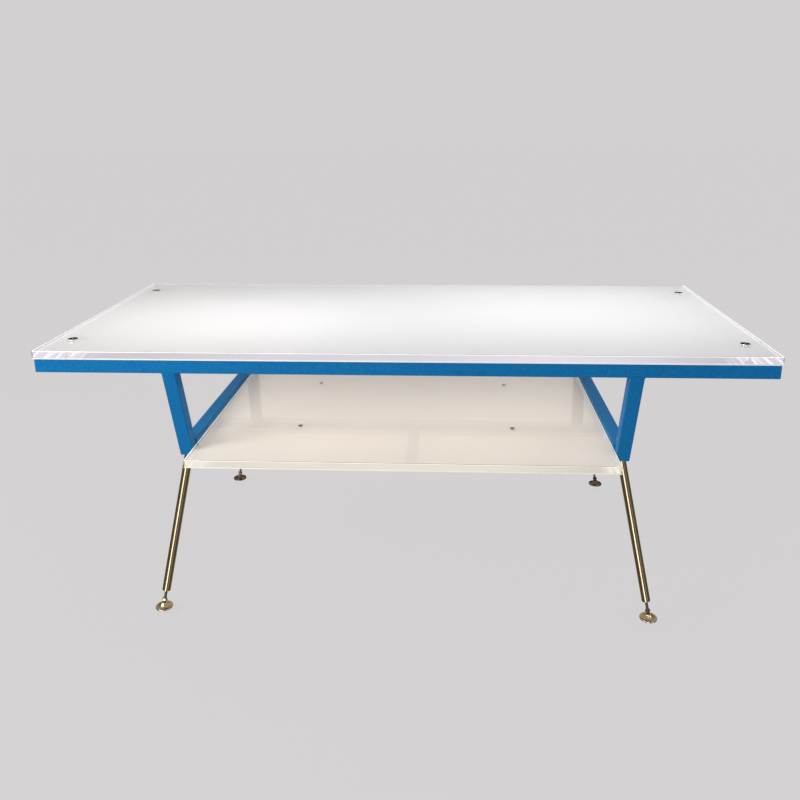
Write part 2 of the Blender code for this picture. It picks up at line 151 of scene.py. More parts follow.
# Foot spindles, along the leg from the ball's middle
STUD = 0.0040
STUD_LENGTH = 0.088
SHAFT_STEPS = 40
THREAD_PITCH = 0.00125
THREAD_DEPTH = 0.0006
THREAD_SIDES = 24
THREAD_ROWS = 5
THREAD_FADE = 0.002
COLLAR_LOW = 0.0100
COLLAR_HIGH = 0.0170
COLLAR_RADIUS = 0.0075
COLLAR_FACE = 0.90
COLLAR_REACH = 1.02
COLLAR_CHAMFER = 0.0009
NECK = 0.0025
NECK_EASE = 0.001
BALL = 0.0060
BALL_STEPS = 14

# Foot discs: lip as steps inward and down, edge as steps inward and heights, groove as shares
# of the radius and heights
CUP_ROOM = 0.0004
CUP_STEPS = 10
DISC_NECK = 0.0080
DISC_LIP = ((0.0010, 0.0), (0.0002, 0.0004))
DISC_DOME_DROP = 0.0012
DISC_DOME_INSET = 0.0021
DISC_DOME_STEPS = 14
DISC_SWEEP = 1.7
DISC_RIM = 0.0040
DISC_EDGE = ((0.0008, 0.0036), (0.0001, 0.0028), (0.0, 0.0014), (0.0006, 0.0003), (0.0012, 0.0))
DISC_GROOVE = ((0.72, 0.0), (0.70, 0.0006), (0.62, 0.0006), (0.60, 0.0))
DISC_STEPS = 72
DISC_SHARP = 40.0

# Reflector pans: a rib's width, height, corner and corner steps, its place and its ends
PAN_RIB = (0.012, 0.0032, 0.0012, 3)
PAN_RIB_PLACE = 0.62
PAN_RIB_END = 0.06

# Driver: a rib's inset, half width and depth
DRIVER_EDGE = 0.0012
DRIVER_RIBS = 9
DRIVER_RIB = (0.002, 0.0011, 0.003)
DRIVER_RIB_EDGE = 0.0005
DRIVER_CAP = 0.010
DRIVER_CAP_LIFT = 0.0004
DRIVER_CAP_EDGE = 0.0014

# Inlet: its hole in the rail takes up a share of the tube
INLET_RIM = 0.0030
INLET_ROOM = 0.8
INLET_HOLE_EDGE = 0.002
FLANGE_EDGE = 0.0007
SHELL_EDGE = 0.0012
SHELL_SINK = 0.0008
PLUG_WELL = (0.026, 0.018, 0.018)
PLUG_WELL_SHIFT = -0.010
PLUG_WELL_CORNER = 0.005
PIN_SIZE = (0.0020, 0.010, 0.0040)
PIN_PLACES = ((-0.007, -0.001), (0.0, 0.003), (0.007, -0.001))
PIN_EDGE = 0.0005
ROCKER_WELL = 0.012
ROCKER_ROOM = (0.0006, 0.0, 0.0012)

# Rocker: reach and curve as shares of its height, grips as shares of its curve
ROCKER = "switch_rocker"
ROCKER_TILT = 10.0
ROCKER_STEPS = 24
ROCKER_FACE = 0.0029
ROCKER_DIP = 0.0011
ROCKER_REACH = 0.98
ROCKER_CURVE = 0.96
ROCKER_EASE = 0.0006
ROCKER_BACK = 0.001
GRIPS = (0.55, 0.68, 0.81)
GRIP_HALF = 0.05
GRIP_DEPTH = 0.00025


# ---- light

# The glow over each lit bay: middle x and y, reach along x and y, strength
LIT_BAYS = ((-0.586, -0.060, 0.520, 0.375, 0.590), (0.537, 0.080, 0.660, 0.440, 0.625))
GLOW_POWER = 2.4
GLOW_FLOOR = 0.10
ONE_REACH_OUT = math.exp(-1.0)

# Painted slanted reflections: glowing streaks in the top's side faces
STREAK_SLANT = 1.05
STREAK_PITCH = 0.017
STREAK_WIDTH = 0.14
STREAK_START = 0.84
STREAK_FADE = 0.03

PAPER = (0.644, 0.630, 0.638)
FLOOR_GLOW = 0.975
FLOOR_RADIUS = 40.0
FLOOR_STEPS = 96
# Just below the reach of the feet when they are screwed fully out
FLOOR_Z = -0.022

# How bright the room is at the foot and the head of a span of height, for soft light and shine
ROOM_RISE = (0.42, 0.62)
SHINE_RISE = (0.12, 0.55)
RISE_SPAN = (-0.1, 0.9)
# Tall bright strips: azimuth from the front, sharpness, gain; they fade out below the zenith
STRIPS = ((-14.0, 70.0, 5.0), (40.0, 40.0, 0.35), (180.0, 3.0, 0.50))
STRIP_TOP = 0.70
STRIP_FADE = 0.25

# Standing height in front of the table, turned slightly left and tipped down
CAMERA_AT = (0.134, -2.370, 1.400)
CAMERA_YAW = math.radians(-2.80)
CAMERA_PITCH = math.radians(14.19)
CAMERA_ROLL = math.radians(-0.36)
CAMERA_LENS = 34.29
SENSOR = 36.0
SHIFT = (-0.0175, -0.10875)


# ---- frame readings


def low(node):
    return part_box(node)[0]


def high(node):
    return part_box(node)[1]


def middle(node):
    return (low(node) + high(node)) / 2


def radius_of(node):
    return (high(node).x - low(node).x) / 2


def over(node):
    """The level move from the origin to a node's middle."""
    return Matrix.Translation((middle(node).x, middle(node).y, 0))


def joint(name):
    return next(j for j in frame["joints"] if j["name"] == name)


# ---- materials


class Nodes:
    """Short ways to make and join the nodes of a tree."""

    def __init__(self, tree):
        self.tree = tree

    def feed(self, socket, value):
        """Sets a socket to a plain value, or joins another node's output to it."""
        if isinstance(value, bpy.types.NodeSocket):
            self.tree.links.new(value, socket)
        else:
            socket.default_value = value

    def node(self, kind, inputs=None, **settings):
        made = self.tree.nodes.new(kind)
        for key, value in settings.items():
            setattr(made, key, value)
        for socket, value in (inputs or {}).items():
            self.feed(made.inputs[socket], value)
        return made

    def axes(self, source):
        """The X, Y and Z of a vector."""
        split = self.node("ShaderNodeSeparateXYZ", {"Vector": source})
        return [split.outputs[axis] for axis in "XYZ"]

    def maths(self, operation, *values):
        inputs = dict(enumerate(values))
        return self.node("ShaderNodeMath", inputs, operation=operation).outputs["Value"]

    def plus(self, first, second):
        return self.maths("ADD", first, second)

    def times(self, first, second):
        return self.maths("MULTIPLY", first, second)

    def far(self, source, centre, reach):
        """A coordinate's distance from a centre, in reaches."""
        return self.times(self.plus(source, -centre), 1 / reach)

    def remap(self, source, start, end, darkest=0.3, brightest=0.7):
        """From one range, by default the middle of a noise, to another."""
        made = self.node("ShaderNodeMapRange", {
            "Value": source, "From Min": darkest, "From Max": brightest,
            "To Min": start, "To Max": end})
        return made.outputs["Result"]

    def mixed(self, factor, first, second):
        """A colour between two colours, each a triple or a node's output."""
        made = self.node("ShaderNodeMix", {"Factor": factor}, data_type="RGBA")
        for name, value in (("A", first), ("B", second)):
            target = next(s for s in made.inputs if s.name == name and s.type == "RGBA")
            self.feed(target, (*value, 1.0) if isinstance(value, tuple) else value)
        return next(s for s in made.outputs if s.type == "RGBA")


class Finish(Nodes):
    """A Principled material whose patterns follow the object's own coordinates."""

    def __init__(self, name, **sockets):
        self.material = bpy.data.materials.new(name)
        self.material.use_nodes = True
        super().__init__(self.material.node_tree)
        self.shader = self.tree.nodes["Principled BSDF"]
        for socket, value in sockets.items():
            self.shader.inputs[socket.replace("_", " ")].default_value = value
        self.place = self.node("ShaderNodeTexCoord").outputs["Object"]

    def noise(self, scale, detail=3.0, stretch=None):
        """A noise over the object, whose coordinates a stretch multiplies along each axis."""
        place = self.place
        if stretch:
            inputs = {"Vector": place, "Scale": stretch}
            place = self.node("ShaderNodeMapping", inputs).outputs["Vector"]
        inputs = {"Vector": place, "Scale": scale, "Detail": detail}
        return self.node("ShaderNodeTexNoise", inputs).outputs["Fac"]

    def colour(self, source, socket="Base Color"):
        self.feed(self.shader.inputs[socket], source)

    def tones(self, source, first, second):
        """A base colour that drifts between two tones."""
        self.colour(self.mixed(self.remap(source, 0.0, 1.0), first, second))

    def glow(self, strength):
        self.feed(self.shader.inputs["Emission Strength"], strength)

    def rough(self, source, smooth, matt):
        self.feed(self.shader.inputs["Roughness"], self.remap(source, smooth, matt))

    def bump(self, source, strength, distance):
        inputs = {"Height": source, "Strength": strength, "Distance": distance}
        made = self.node("ShaderNodeBump", inputs)
        self.feed(self.shader.inputs["Normal"], made.outputs["Normal"])


def powder_coat():
    """Satin blue powder coat: soft unevenness, fine speckle and orange peel."""
    made = Finish("blue_powder_coat_fine", Specular_IOR_Level=0.12, IOR=1.45)
    cloud = made.remap(made.noise(3.0, 2.0), 0.0, 1.0)
    base = made.mixed(cloud, (0.001, 0.091, 0.268), (0.002, 0.109, 0.298))
    speckle = made.remap(made.noise(300.0), 0.0, 0.80)
    made.colour(made.mixed(speckle, base, (0.004, 0.180, 0.430)))
    made.rough(made.noise(60.0), 0.36, 0.48)
    made.bump(made.noise(420.0, 2.0), 0.22, 0.0003)
    return made.material


def clear_acrylic(name, ior):
    """Cast clear acrylic with the faint wipe marks of use."""
    made = Finish(name, IOR=ior, Transmission_Weight=1.0)
    made.colour(made.mixed(made.noise(4.0, 1.0), (0.985, 0.980, 0.990), (0.995, 0.992, 1.0)))
    made.rough(made.noise(25.0, 4.0), 0.005, 0.035)
    made.bump(made.noise(60.0, 3.0, (1.0, 7.0, 1.0)), 0.02, 0.0002)
    return made.material


def polished_edge_with_painted_glow(name, tones, light, lobe, streaks=0.0, clear=0.45, polish=(0.05, 0.14)):
    """A slab's side faces: flame-polished, hazy, and a painted glow brightest where light gathers.

    The lobe is a place along X, a reach, a least and an added strength of the painted glow;
    streaks are painted slanted reflections of the upright corners, near both ends.
    """
    made = Finish(name, IOR=1.49, Transmission_Weight=clear, Emission_Color=(*light, 1.0))
    x, _, z = made.axes(made.place)
    middle_x, reach, least, added = lobe
    across = made.far(x, middle_x, reach)
    bell = made.maths("POWER", ONE_REACH_OUT, made.times(across, across))
    strength = made.plus(made.times(bell, added), least)
    if streaks:
        out = made.maths("ABSOLUTE", x)
        slant = made.plus(out, made.times(z, STREAK_SLANT))
        wave = made.maths("PINGPONG", made.times(slant, 1 / STREAK_PITCH), 1.0)
        line = made.remap(wave, 0.0, 1.0, 1.0 - 2 * STREAK_WIDTH, 1.0 - STREAK_WIDTH)
        near_end = made.remap(out, 0.0, 1.0, STREAK_START, STREAK_START + STREAK_FADE)
        strength = made.plus(strength, made.times(made.times(line, near_end), streaks))
    # Painted glow and painted reflections, given as emission
    made.glow(strength)
    made.colour(made.mixed(made.noise(8.0, 2.0), *tones))
    made.rough(made.noise(40.0, 3.0, (0.2, 0.2, 6.0)), *polish)
    made.bump(made.noise(160.0, 2.0, (0.3, 0.3, 5.0)), 0.05, 0.0002)
    return made.material


def bright_rim(name, tint, glow):
    """The narrow eased rim of a clear slab, with a painted highlight glowing where the light inside
    would come out.
    """
    made = Finish(name, IOR=1.49, Emission_Color=(*tint, 1.0))
    wear = made.noise(30.0)
    # Painted highlight: its glow drifts with the same noise as the rim's wear and roughness
    made.glow(made.remap(wear, *glow))
    made.colour(made.mixed(wear, *(tuple(c * share for c in tint) for share in (0.86, 0.90))))
    made.rough(wear, 0.10, 0.25)
    return made.material


def lit_opal():
    """Opal diffuser over two lit bays: brightest in their middles, dimmer at the beam and rim."""
    made = Finish("opal_acrylic_lit", IOR=1.49)
    made.tones(made.noise(5.0, 2.0), (0.530, 0.524, 0.514), (0.560, 0.554, 0.546))
    made.rough(made.noise(80.0), 0.35, 0.5)
    made.bump(made.noise(500.0, 2.0), 0.03, 0.0002)
    x, y, _ = made.axes(made.place)
    glow = 0.0
    for centre_x, centre_y, reach_x, reach_y, gain in LIT_BAYS:
        spreads = [made.maths("POWER", made.maths("ABSOLUTE", made.far(*place)), GLOW_POWER)
                   for place in ((x, centre_x, reach_x), (y, centre_y, reach_y))]
        bay = made.maths("POWER", ONE_REACH_OUT, made.plus(*spreads))
        glow = made.plus(made.times(bay, gain), glow)
    made.glow(made.plus(glow, GLOW_FLOOR))
    rightward = made.remap(x, 0.0, 1.0, -1.0, 1.0)
    light = made.mixed(rightward, (1.0, 0.985, 0.965), (0.985, 0.985, 1.0))
    made.colour(light, "Emission Color")
    return made.material


def cream_opal():
    """The shelf's cream opal sheet, satin, with a faint painted glow for the floor light through
    its thickness.
    """
    made = Finish("cream_opal_satin", IOR=1.49,
                  Emission_Color=(0.80, 0.735, 0.650, 1.0), Emission_Strength=0.175)
    made.tones(made.noise(2.5), (0.738, 0.671, 0.585), (0.778, 0.716, 0.636))
    made.rough(made.noise(90.0), 0.32, 0.48)
    made.bump(made.noise(650.0, 2.0), 0.04, 0.0002)
    return made.material


def bronze(name, depth):
    """Bronze-toned polished steel, ground round the tube; depth scales its tone, and below one
    gives a copy with painted shade.
    """
    made = Finish(name, Metallic=1.0,
                  Specular_Tint=(0.75 * depth, 0.58 * depth, 0.38 * depth, 1.0))
    lines = made.noise(260.0, 2.0, (1.0, 1.0, 9.0))
    cloud = made.remap(made.noise(14.0), 0.0, 1.0)
    tones = ((0.560, 0.435, 0.265), (0.640, 0.510, 0.325), (0.360, 0.260, 0.140))
    dull, bright, line = (tuple(channel * depth for channel in tone) for tone in tones)
    made.colour(made.mixed(made.remap(lines, 0.0, 0.15), made.mixed(cloud, dull, bright), line))
    made.rough(lines, 0.17, 0.24)
    made.bump(lines, 0.04, 0.00002)
    return made.material


def turned_steel(name, dull, bright, tint):
    """Turned steel with a trace of wear."""
    made = Finish(name, Metallic=1.0, Specular_Tint=(*tint, 1.0))
    made.tones(made.noise(260.0), dull, bright)
    made.rough(made.noise(500.0, 2.0), 0.25, 0.42)
    made.bump(made.noise(1400.0, 2.0), 0.06, 0.0001)
    return made.material


def white_sheet():
    """White stove-enamelled reflector sheet."""
    made = Finish("white_sheet_enamel", IOR=1.5, Coat_Weight=0.2)
    made.tones(made.noise(6.0), (0.740, 0.740, 0.735), (0.800, 0.800, 0.800))
    made.rough(made.noise(70.0), 0.38, 0.52)
    made.bump(made.noise(380.0, 2.0), 0.10, 0.0002)
    return made.material


def aluminium():
    """Drawn aluminium with long die lines along X."""
    made = Finish("aluminium_drawn", Metallic=1.0)
    lines = made.noise(300.0, 3.0, (0.04, 1.0, 1.0))
    made.tones(lines, (0.640, 0.645, 0.655), (0.780, 0.785, 0.795))
    made.rough(lines, 0.28, 0.42)
    made.bump(lines, 0.08, 0.0001)
    return made.material


def black_plastic():
    """Moulded black plastic with a fine spark texture."""
    made = Finish("black_plastic_moulded", IOR=1.46)
    grain = made.noise(1100.0, 2.0)
    made.tones(grain, (0.014, 0.014, 0.015), (0.030, 0.030, 0.032))
    made.rough(grain, 0.36, 0.55)
    made.bump(grain, 0.20, 0.0002)
    return made.material


BLUE = powder_coat()
CLEAR = clear_acrylic("clear_acrylic_polished", 1.49)
# The top's side faces: lavender, with a painted glow and painted slanted reflections
TOP_EDGE = polished_edge_with_painted_glow(
    "lit_acrylic_edge", ((0.74, 0.725, 0.820), (0.86, 0.810, 0.850)), (0.86, 0.82, 0.90),
    (0.42, 0.52, 0.02, 0.40), streaks=0.22)
# The shelf's side faces: cream, with a painted glow
SHELF_EDGE = polished_edge_with_painted_glow(
    "shelf_acrylic_edge", ((0.80, 0.750, 0.660), (0.86, 0.810, 0.730)), (0.86, 0.79, 0.68),
    (0.22, 0.42, 0.13, 0.30))
# The rear faces of both slabs: a darker, duller copy of the edge finish, painted shade, with a
# faint painted glow
REAR_EDGE = polished_edge_with_painted_glow(
    "rear_acrylic_edge", ((0.54, 0.53, 0.56), (0.62, 0.61, 0.63)), (0.86, 0.82, 0.90),
    (0.0, 1.0, 0.0, 0.03), clear=0.0, polish=(0.35, 0.50))
# Painted highlights on the eased rims and end strips of the top and the shelf
TOP_RIM = bright_rim("lit_acrylic_rim", (1.0, 0.970, 0.972), (0.52, 0.76))
SHELF_RIM = bright_rim("shelf_acrylic_rim", (1.0, 0.955, 0.890), (0.26, 0.38))
# A lower index than acrylic's, because the real shelf mirrors little
SHELF_CLEAR = clear_acrylic("shelf_acrylic_dull", 1.22)
OPAL = lit_opal()
CREAM = cream_opal()
BRONZE = bronze("bronze_steel_polished", 1.0)
# A darker copy of the bronze for the rear feet: painted shade
SHADED_BRONZE = bronze("bronze_steel_painted_shade", 0.34)
DARK = turned_steel(
    "dark_steel_turned", (0.062, 0.052, 0.044), (0.130, 0.112, 0.096), (0.34, 0.30, 0.27))
GREY_STEEL = turned_steel(
    "grey_steel_turned", (0.300, 0.285, 0.270), (0.420, 0.400, 0.380), (0.6, 0.58, 0.56))
WHITE = white_sheet()
ALUMINIUM = aluminium()
BLACK = black_plastic()


# ---- shapes


def linked(name, data):
    made = bpy.data.objects.new(name, data)
    bpy.context.scene.collection.objects.link(made)
    return made


def as_object(name, bm):
    mesh = bpy.data.meshes.new(name)
    bmesh.ops.recalc_face_normals(bm, faces=bm.faces)
    bm.to_mesh(mesh)
    bm.free()
    return linked(name, mesh)


def piece(name, bm, finishes, stands_for=(), body="frame", sharp=30.0):
    """Turns a finished bmesh into a piece that rides a body and stands for its CAD nodes."""
    made = as_object(name, bm)
    for finish in finishes:
        made.data.materials.append(finish)
    made.data.shade_smooth()
    made.data.set_sharp_from_angle(angle=math.radians(sharp))
    weigh = made.modifiers.new("flat_faces", "WEIGHTED_NORMAL")
    weigh.weight = 100
    weigh.keep_sharp = True
    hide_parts(*stands_for)
    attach(made, body)
    return made


def loft(loops, ring=False):
    """Quads between outlines of equal length, closed into a ring or capped at both ends."""
    bm = bmesh.new()
    rows = [[bm.verts.new(p) for p in loop] for loop in loops]
    following = rows[1:] + rows[:1] if ring else rows[1:]
    for first, second in zip(rows, following):
        for i in range(len(first)):
            j = (i + 1) % len(first)
            bm.faces.new((first[i], first[j], second[j], second[i]))
    if not ring:
        bm.faces.new(rows[0])
        bm.faces.new(rows[-1])
    return bm


def rounded_outline(width, depth, corner=TUBE_CORNER, steps=CORNER_STEPS):
    """A rectangle with rounded corners about the origin, anticlockwise."""
    points = []
    for quarter, (sx, sy) in enumerate(((1, 1), (-1, 1), (-1, -1), (1, -1))):
        cx = sx * (width / 2 - corner)
        cy = sy * (depth / 2 - corner)
        for step in range(steps + 1):
            angle = (quarter + step / steps) * math.pi / 2
            points.append((cx + corner * math.cos(angle), cy + corner * math.sin(angle)))
    return points


def circle(radius, steps=ROUND_STEPS):
    turns = [2 * math.pi * i / steps for i in range(steps)]
    return [(radius * math.cos(a), radius * math.sin(a)) for a in turns]


def spun(profile, steps=ROUND_STEPS):
    """A solid of revolution about Z from a profile whose ends lie on the axis."""
    bm = bmesh.new()
    start = bm.verts.new((0, 0, profile[0][1]))
    end = bm.verts.new((0, 0, profile[-1][1]))
    rows = [[bm.verts.new((x, y, z)) for x, y in circle(r, steps)] for r, z in profile[1:-1]]
    for first, second in zip(rows, rows[1:]):
        for i in range(steps):
            j = (i + 1) % steps
            bm.faces.new((first[i], first[j], second[j], second[i]))
    for i in range(steps):
        j = (i + 1) % steps
        bm.faces.new((start, rows[0][i], rows[0][j]))
        bm.faces.new((end, rows[-1][j], rows[-1][i]))
    return bm


def rounded_profile(points, radius):
    """A profile with its inner corners rounded by short arcs."""
    rounded = [points[0]]
    for before, here, after in zip(points, points[1:], points[2:]):
        a, b, c = Vector(before), Vector(here), Vector(after)
        reach = min(radius, (a - b).length * ARC_SHARE, (c - b).length * ARC_SHARE)
        start, end = b + (a - b).normalized() * reach, b + (c - b).normalized() * reach
        for step in range(ARC_STEPS + 1):
            t = step / ARC_STEPS
            rounded.append(tuple(start * (1 - t) ** 2 + b * 2 * t * (1 - t) + end * t ** 2))
    rounded.append(points[-1])
    return rounded


def moved(bm, matrix):
    bmesh.ops.transform(bm, matrix=matrix, verts=bm.verts)
    return bm


def painted(bm, chosen):
    """The bmesh, with the faces whose middle passes a test in the piece's second finish."""
    for face in bm.faces:
        if chosen(face.calc_center_median()):
            face.material_index = 1
    return bm


def merged(*parts):
    """Several bmeshes as one, each still its own closed shell."""
    whole = bmesh.new()
    for part in parts:
        scratch = bpy.data.meshes.new("scratch")
        part.to_mesh(scratch)
        part.free()
        whole.from_mesh(scratch)
        bpy.data.meshes.remove(scratch)
    return whole


def softened(bm, edges, offset, steps):
    bmesh.ops.bevel(bm, geom=edges, offset=offset, segments=steps, profile=0.5, affect="EDGES")
    return bm


def block(lowest, highest, edge=SOFT_EDGE):
    """A rectangular solid with softened edges."""
    bm = bmesh.new()
    bmesh.ops.create_cube(bm, size=1.0)
    bmesh.ops.scale(bm, vec=highest - lowest, verts=bm.verts)
    bmesh.ops.translate(bm, vec=(lowest + highest) / 2, verts=bm.verts)
    return softened(bm, bm.edges[:], edge, EDGE_STEPS)


def cut(bm, tools, operation="DIFFERENCE"):
    """The bmesh after a Boolean with each tool in turn; the tools are bmeshes."""
    for tool in tools:
        body = as_object("body", bm)
        cutter = as_object("cutter", tool)
        step = body.modifiers.new("cut", "BOOLEAN")
        step.operation = operation
        step.object = cutter
        bpy.context.view_layer.update()
        result = body.evaluated_get(bpy.context.evaluated_depsgraph_get()).to_mesh()
        bm = bmesh.new()
        bm.from_mesh(result)
        for scratch in (body, cutter):
            mesh = scratch.data
            bpy.data.objects.remove(scratch)
            bpy.data.meshes.remove(mesh)
    return bm


def bead(points, closed=False):
    """A weld bead along a path, with the ripples that each weld pool leaves."""
    path = [Vector(p) for p in points]
    samples = [path[0]]
    for target in path[1:] + (path[:1] if closed else []):
        start = samples[-1].copy()
        span = target - start
        count = max(1, round(span.length / (BEAD_PITCH / BEAD_SAMPLES)))
        samples += [start + span * (i + 1) / count for i in range(count)]
    if closed:
        samples.pop()
    loops = []
    travelled = 0.0
    for i, here in enumerate(samples):
        before = samples[i - 1] if closed or i else here
        after = samples[(i + 1) % len(samples)] if closed or i + 1 < len(samples) else here
        travelled += (here - before).length if i else 0.0
        along = (after - before).normalized()
        side = along.cross(Vector((0, 0, 1))).normalized()
        up = side.cross(along)
        ripple = BEAD_RIPPLE * math.cos(2 * math.pi * travelled / BEAD_PITCH)
        swell = BEAD_RADIUS * (1 - BEAD_RIPPLE + ripple)
        if not closed:
            swell *= min(1.0, BEAD_TIP + min(i, len(samples) - 1 - i) / BEAD_TAPER)
        loops.append([here + side * (swell * x) + up * (swell * y)
                      for x, y in circle(1.0, BEAD_SIDES)])
    return loft(loops, ring=closed)


def hex_prism(radius, lowest, highest):
    return loft([[(x, y, z) for x, y in circle(radius, 6)] for z in (lowest, highest)])


def bore(radius, top=1.0):
    """The profile of a plain hole, from the floor up."""
    return [(0, top), (radius, top), (radius, 0.0), (0, 0.0)]


# ---- acrylic slabs


def slab(node, holes, edge=PANEL_EDGE):
    """A thick panel with eased edges; holes are profiles and the screws that they stand round."""
    tools = [moved(spun(profile, HOLE_STEPS), over(screw)) for profile, screw in holes]
    return cut(block(*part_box(node), edge), tools)


def clear_slab(name, node, holes, finishes):
    """A clear slab whose side faces, upper eased rims and a strip at each end take their own
    finishes:
    painted glow on the side faces, a painted highlight on the rims and strips, painted shade on the
    rear face.

    It casts no shadow of its own on the sheet below it.
    """
    bm = slab(node, holes)
    reach = max(v.co.x for v in bm.verts) - RIM_STRIP
    for sign in SIDES.values():
        parts = bm.verts[:] + bm.edges[:] + bm.faces[:]
        bmesh.ops.bisect_plane(
            bm, geom=parts, dist=1e-7, plane_co=(sign * reach, 0, 0), plane_no=(1, 0, 0))
    # End strips and upper rims take the painted highlight, side faces the painted glow, the rear
    # face painted shade
    for face in bm.faces:
        if face.normal.z > LEVEL and abs(face.calc_center_median().x) > reach:
            face.material_index = RIM_FACE
        elif face.calc_area() < SIDE_FACE_AREA or abs(face.normal.z) > LEVEL:
            continue
        elif face.normal.y > REARWARD:
            face.material_index = REAR_FACE
        else:
            face.material_index = RIM_FACE if face.normal.z > EASED else SIDE_FACE
    glass = piece(name, bm, finishes, [node], sharp=SLAB_SHARP)
    glass.visible_shadow = False
    glass.visible_diffuse = False


def head_and_shank_room(screw):
    """The space round a screw: its head above, its shank below."""
    lowest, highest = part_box(screw)
    head = radius_of(screw) + SEAM
    seat = highest.z - CAP_HEAD - SEAM
    shank = CAP_SHANK + SHANK_ROOM
    return [(0, highest.z + PAST), (head, highest.z + PAST), (head, seat), (shank, seat),
            (shank, lowest.z - PAST), (0, lowest.z - PAST)]


def top_panels():
    screws = [f"cap_screw_{corner}" for corner in CORNERS]
    holes = [(head_and_shank_room(screw), screw) for screw in screws]
    clear_slab("work_surface", "top_clear_panel", holes, [CLEAR, TOP_EDGE, TOP_RIM, REAR_EDGE])
    holes = [(bore(CAP_SHANK + SHANK_ROOM), screw) for screw in screws]
    bm = slab("top_opal_sheet", holes, edge=SOFT_EDGE)
    piece("top_diffuser", bm, [OPAL], ["top_opal_sheet"], sharp=SLAB_SHARP)


def shelf_panels():
    screws = [f"shelf_screw_{corner}" for corner in CORNERS]
    top = high(screws[0]).z + SEAM
    under = top - SHELF_FLANGE - 2 * SEAM
    flange = radius_of(screws[0]) + SEAM
    shank = SHELF_SHANK + SHANK_ROOM
    room = [(0, top), (flange, top), (flange, under), (shank, under), (shank, 0.0), (0, 0.0)]
    holes = [(room, screw) for screw in screws]
    finishes = [SHELF_CLEAR, SHELF_EDGE, SHELF_RIM, REAR_EDGE]
    clear_slab("shelf_surface", "shelf_clear_panel", holes, finishes)
    holes = [(bore(shank, top), screw) for screw in screws]
    bm = slab("shelf_opal_sheet", holes, edge=SOFT_EDGE)
    piece("shelf_underlay", bm, [CREAM], ["shelf_opal_sheet"],
          sharp=SLAB_SHARP)


# ---- screws


def cap_screws():
    """Flat-headed screws with an eased rim, a turned step and a hexagonal socket."""
    for corner in CORNERS:
        node = f"cap_screw_{corner}"
        radius, foot, top = radius_of(node), low(node).z, high(node).z
        seat, dish, socket = top - CAP_HEAD, top - CAP_DISH_DEPTH, top - CAP_SOCKET
        dish_inner, dish_outer = (radius * share for share in CAP_DISH)
        profile = [(0, dish), (dish_inner, dish), (dish_outer, top), (radius, top),
                   (radius, seat), (CAP_SHANK, seat), (CAP_SHANK, foot), (0, foot)]
        bm = spun(rounded_profile(profile, SCREW_ROUND))
        bm = cut(bm, [hex_prism(CAP_KEY, socket, top + PAST_SOCKET)])
        painted(bm, lambda p: math.hypot(p.x, p.y) < CAP_KEY and p.z > socket - SEAM)
        bm = moved(bm, over(node))
        piece(f"head_screw_{corner}", bm, [DARK, ALUMINIUM], [node])


def shelf_screws():
    """Screws from below, with a domed head, a hexagonal socket and a flat bright tip."""
    for corner in CORNERS:
        node = f"shelf_screw_{corner}"
        radius, foot, top = radius_of(node), low(node).z, high(node).z
        seat, under = foot + SHELF_HEAD, top - SHELF_FLANGE
        dome, rise = SHELF_DOME
        profile = [(0, top), (radius, top), (radius, under), (SHELF_SHANK, under),
                   (SHELF_SHANK, seat), (radius, seat), (radius, seat - SHELF_HEAD * rise),
                   (radius * dome, foot), (0, foot)]
        bm = spun(rounded_profile(profile, SCREW_ROUND), HOLE_STEPS)
        bm = cut(bm, [hex_prism(SHELF_KEY, foot - PAST_SOCKET / 2, foot + SHELF_SOCKET)])
        painted(bm, lambda p: p.z > top - SHELF_FLANGE * SHELF_BRIGHT)
        bm = moved(bm, over(node))
        piece(f"shelf_bolt_{corner}", bm, [DARK, GREY_STEEL], [node])


# ---- blue frame


def blue(name, bm, nodes):
    piece(name, bm, [BLUE], nodes)


def top_frame():
    """The welded rectangle: one run of square tube with ground mitres."""
    lowest, highest = low("top_rail_front"), high("top_rail_rear")
    side = highest.z - lowest.z
    reach_x = high("top_rail_right").x - side / 2
    reach_y = highest.y - side / 2
    centre_z = (lowest.z + highest.z) / 2
    outline = rounded_outline(side, side)
    loops = [[(sx * (reach_x + u), sy * (reach_y + u), centre_z + v) for u, v in outline]
             for sx, sy in ((-1, -1), (1, -1), (1, 1), (-1, 1))]
    bm = loft(loops, ring=True)
    softened(bm, [e for e in bm.edges if is_mitre(e, side)], MITRE_EDGE, MITRE_STEPS)
    inlet_low, inlet_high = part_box("power_inlet")
    rim = Vector((INLET_RIM - SEAM, 0, INLET_RIM - SEAM))
    hole_low = Vector((inlet_low.x, highest.y - side * INLET_ROOM, inlet_low.z)) + rim
    hole_high = Vector((inlet_high.x, highest.y + PAST, inlet_high.z)) - rim
    bm = cut(bm, [block(hole_low, hole_high, INLET_HOLE_EDGE)])
    blue("welded_top_frame", bm, [f"top_rail_{name}" for name in (*ENDS, *SIDES)])


def is_mitre(edge, side):
    """True for the frame's corner edges, which cross the mitre from tube face to tube face."""
    first, second = (v.co for v in edge.verts)
    slanted = abs(abs(first.x - second.x) - abs(first.y - second.y)) < 1e-6
    return slanted and edge.calc_length() < side * 2


def centre_beam():
    lowest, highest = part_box("centre_beam")
    side = highest.z - lowest.z
    centre = (lowest + highest) / 2
    loops = [[(x, y, centre.z + z) for x, z in rounded_outline(side, side)]
             for y in (lowest.y, highest.y)]
    beads = [bead(loop[len(loop) // 2 - 1:]) for loop in loops]
    blue("middle_beam", merged(loft(loops), *beads), ["centre_beam"])


def tabs():
    for corner in CORNERS:
        node = f"mounting_tab_{corner}"
        hole = moved(spun(bore(CAP_SHANK + SHANK_ROOM), TAB_STEPS), over(f"cap_screw_{corner}"))
        blue(f"welded_tab_{corner}", cut(block(*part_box(node), TAB_EDGE), [hole]), [node])


